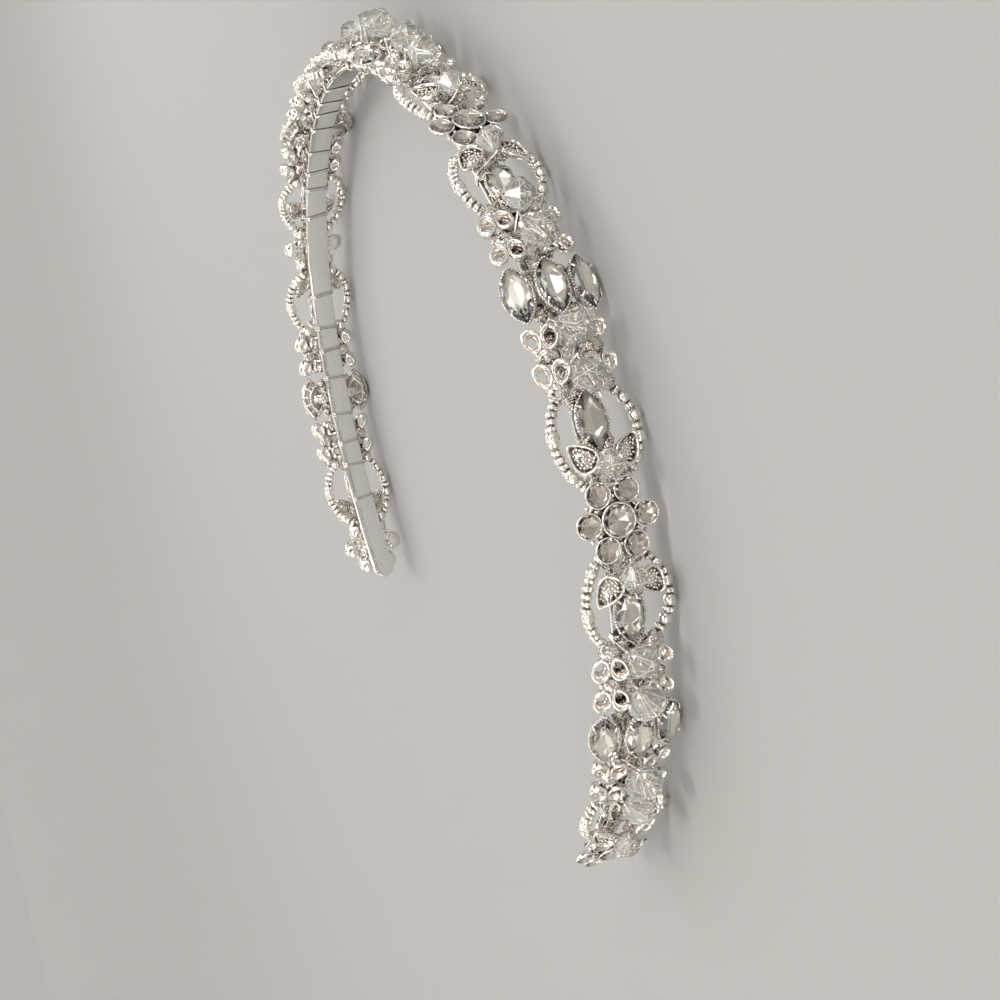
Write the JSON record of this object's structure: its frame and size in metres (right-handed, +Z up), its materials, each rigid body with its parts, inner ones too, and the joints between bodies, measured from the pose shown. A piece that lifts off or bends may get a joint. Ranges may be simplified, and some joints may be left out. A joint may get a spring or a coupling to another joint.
{
  "type": "crystal headband",
  "caption": "C-shaped sprung metal headband with cast settings of marquise and round stones, faceted crystals and bead chains along its outer face.",
  "frame": {"origin": "middle of the footprint, on the surface that the headband lies on", "axes": "+Z up, across the band's width; +Y towards the crown; X from the left tip to the right tip"},
  "size_m": [0.1972, 0.1442, 0.017],
  "materials": {
    "silver_band": "bright polished silver plate",
    "silver_setting": "bright cast silver plate",
    "silver_beads": "bright rolled beads, silver plate",
    "clear_crystal": "clear cut glass, foiled behind the flat-backed stones"
  },
  "bodies": {
    "root": {"band": "silver_band", "trio_crown": "silver_setting", "trio_crown_stone_1": "clear_crystal", "trio_crown_stone_2": "clear_crystal", "trio_crown_stone_3": "clear_crystal", "chain_crown_a_upper": "silver_beads", "chain_crown_a_lower": "silver_beads", "crystals_crown_a": "clear_crystal", "chain_crown_b_upper": "silver_beads", "chain_crown_b_lower": "silver_beads", "crystals_crown_b": "clear_crystal", "trio_left_2": "silver_setting", "trio_left_2_stone_1": "clear_crystal", "trio_left_2_stone_2": "clear_crystal", "trio_left_2_stone_3": "clear_crystal", "chain_left_2_a_upper": "silver_beads", "chain_left_2_a_lower": "silver_beads", "crystals_left_2_a": "clear_crystal", "chain_left_2_b_upper": "silver_beads", "chain_left_2_b_lower": "silver_beads", "crystals_left_2_b": "clear_crystal", "trio_left_4": "silver_setting", "trio_left_4_stone_1": "clear_crystal", "trio_left_4_stone_2": "clear_crystal", "trio_left_4_stone_3": "clear_crystal", "chain_left_4_a_upper": "silver_beads", "chain_left_4_a_lower": "silver_beads", "crystals_left_4_a": "clear_crystal", "chain_left_4_b_upper": "silver_beads", "chain_left_4_b_lower": "silver_beads", "crystals_left_4_b": "clear_crystal", "trio_right_2": "silver_setting", "trio_right_2_stone_1": "clear_crystal", "trio_right_2_stone_2": "clear_crystal", "trio_right_2_stone_3": "clear_crystal", "chain_right_2_a_upper": "silver_beads", "chain_right_2_a_lower": "silver_beads", "crystals_right_2_a": "clear_crystal", "chain_right_2_b_upper": "silver_beads", "chain_right_2_b_lower": "silver_beads", "crystals_right_2_b": "clear_crystal", "trio_right_4": "silver_setting", "trio_right_4_stone_1": "clear_crystal", "trio_right_4_stone_2": "clear_crystal", "trio_right_4_stone_3": "clear_crystal", "chain_right_4_a_upper": "silver_beads", "chain_right_4_a_lower": "silver_beads", "crystals_right_4_a": "clear_crystal", "chain_right_4_b_upper": "silver_beads", "chain_right_4_b_lower": "silver_beads", "crystals_right_4_b": "clear_crystal", "flower_left_1": "silver_setting", "flower_left_3": "silver_setting", "flower_left_5": "silver_setting", "flower_right_1": "silver_setting", "flower_right_3": "silver_setting", "flower_right_5": "silver_setting"}
  },
  "joints": []
}
